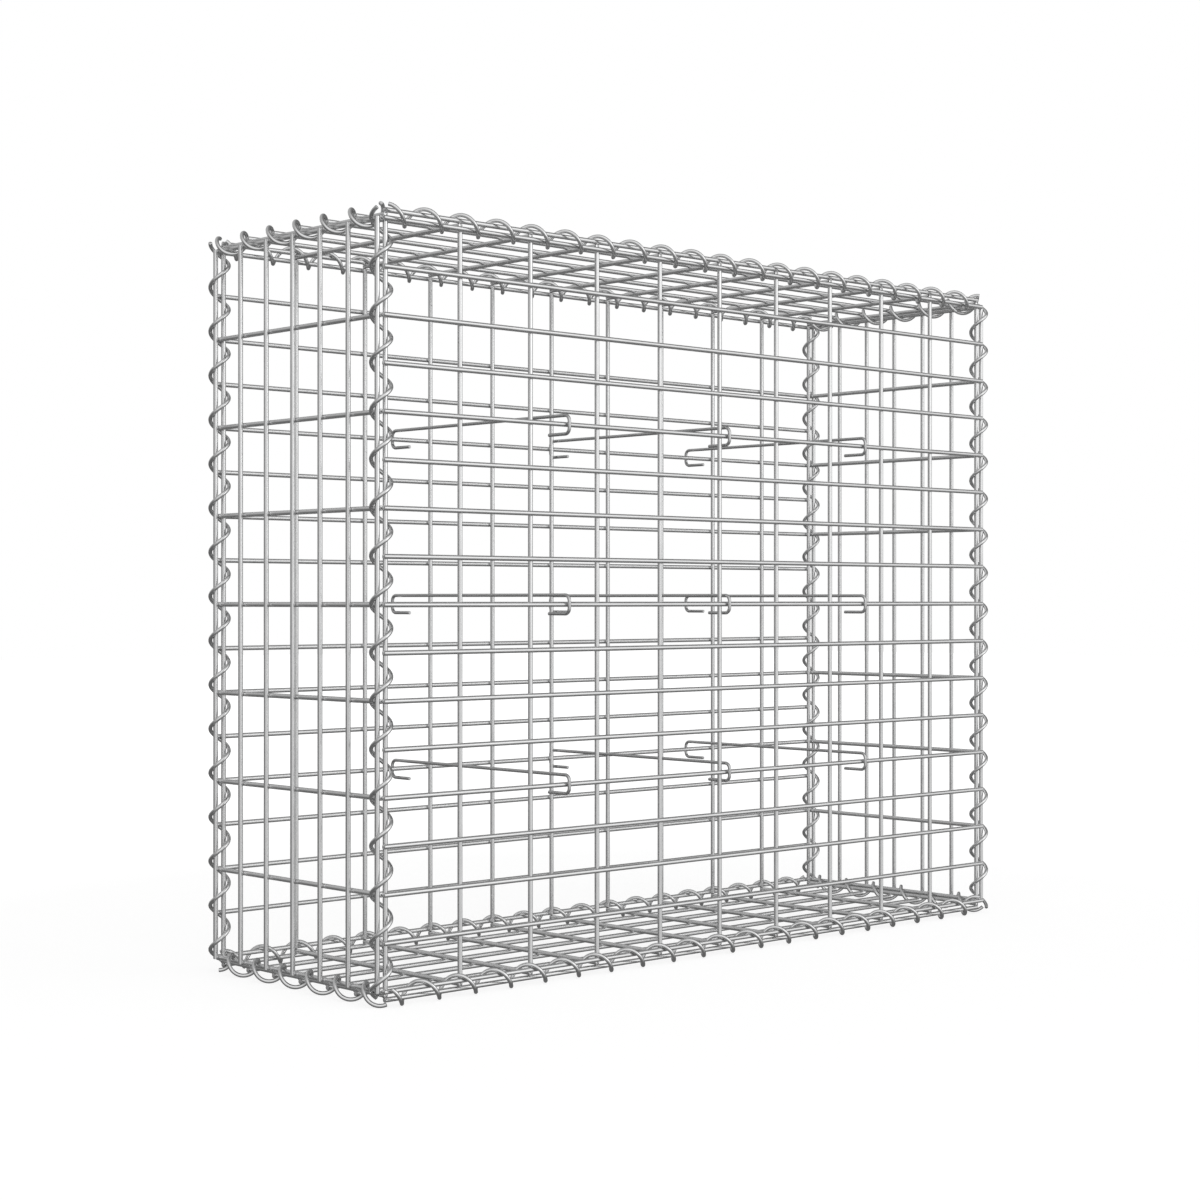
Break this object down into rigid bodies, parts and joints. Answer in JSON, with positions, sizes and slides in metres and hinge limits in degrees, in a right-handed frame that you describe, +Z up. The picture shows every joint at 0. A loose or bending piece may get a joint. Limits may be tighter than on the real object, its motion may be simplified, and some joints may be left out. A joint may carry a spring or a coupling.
{
  "type": "gabion basket",
  "caption": "Long rectangular gabion basket of welded galvanised wire mesh, laced along its edges with helical binders and braced by tie hooks between front and back.",
  "frame": {"origin": "on the ground under the middle of the basket, at the middle of the bounding box's underside", "axes": "+X along the basket to its right end, +Y from the front to the back, +Z up"},
  "size_m": [1.0396, 0.3338, 0.8344],
  "materials": {
    "mesh_wire": "galvanised, dull bright zinc",
    "binder_wire": "galvanised, drawn wire",
    "tie_wire": "galvanised, drawn wire"
  },
  "bodies": {
    "root": {"front_panel": "mesh_wire", "back_panel": "mesh_wire", "left_end_panel": "mesh_wire", "right_end_panel": "mesh_wire", "base_panel": "mesh_wire", "lid_panel": "mesh_wire", "front_left_binder": "binder_wire", "back_left_binder": "binder_wire", "front_right_binder": "binder_wire", "back_right_binder": "binder_wire", "top_front_binder": "binder_wire", "bottom_front_binder": "binder_wire", "top_back_binder": "binder_wire", "bottom_back_binder": "binder_wire", "top_left_binder": "binder_wire", "top_right_binder": "binder_wire", "bottom_left_binder": "binder_wire", "bottom_right_binder": "binder_wire", "lower_left_tie": "tie_wire", "lower_centre_tie": "tie_wire", "lower_right_tie": "tie_wire", "middle_left_tie": "tie_wire", "middle_centre_tie": "tie_wire", "middle_right_tie": "tie_wire", "upper_left_tie": "tie_wire", "upper_centre_tie": "tie_wire", "upper_right_tie": "tie_wire"}
  },
  "joints": []
}
